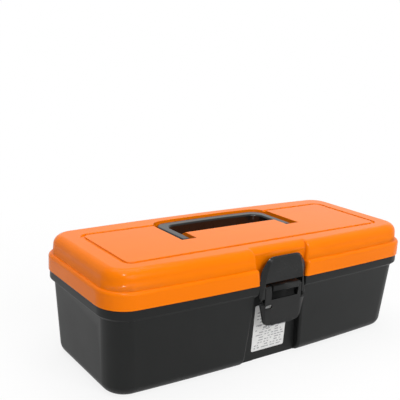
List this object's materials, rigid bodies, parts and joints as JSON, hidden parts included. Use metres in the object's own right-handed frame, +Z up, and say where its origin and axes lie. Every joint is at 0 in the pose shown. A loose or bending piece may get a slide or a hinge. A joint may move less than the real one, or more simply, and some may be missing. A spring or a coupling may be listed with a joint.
{
  "type": "tool case",
  "caption": "Long moulded tool case: a drafted black tub, a hinged orange lid with a fold-down carrying handle sunk in its top, and a two-part draw latch in a front recess.",
  "frame": {"origin": "middle of the tub's underside, on the plane that the case stands on", "axes": "+X along the case's length, to the right as seen from the latch; -Y towards the latch; +Z up"},
  "size_m": [0.32, 0.148, 0.104],
  "materials": {
    "tub_black": "moulded black plastic, fine satin texture outside and gloss inside",
    "lid_orange": "moulded orange plastic, semi-gloss",
    "trim_black": "moulded black plastic, satin",
    "pin_steel": "plain steel wire",
    "label_white": "bare white sticker"
  },
  "bodies": {
    "tub": {"tub": "tub_black", "label": "label_white", "latch_pin": "pin_steel"},
    "lid": {"lid": "lid_orange", "hinge_pin_left": "pin_steel", "hinge_pin_right": "pin_steel"},
    "handle": {"handle": "trim_black"},
    "latch_lever": {"latch_lever": "trim_black"},
    "latch_hook": {"latch_hook": "trim_black"}
  },
  "joints": [
    {"name": "lid_hinge", "type": "hinge", "parent": "tub", "child": "lid", "pos_m": [0, 0.0735, 0.075], "axis": [-1, 0, 0], "range_deg": [0, 105]},
    {"name": "handle_pivot", "type": "hinge", "parent": "lid", "child": "handle", "pos_m": [0, -0.003, 0.0962], "axis": [1, 0, 0], "range_deg": [0, 90]},
    {"name": "lever_pivot", "type": "hinge", "parent": "tub", "child": "latch_lever", "pos_m": [0, -0.0659, 0.0706], "axis": [-1, 0, 0], "range_deg": [0, 40]},
    {"name": "hook_pivot", "type": "hinge", "parent": "latch_lever", "child": "latch_hook", "pos_m": [0, -0.0666, 0.063], "axis": [1, 0, 0], "range_deg": [0, 140]}
  ],
  "couplings": [
    {"joint": "hook_pivot", "follows": "lever_pivot", "ratio": 3.5}
  ]
}
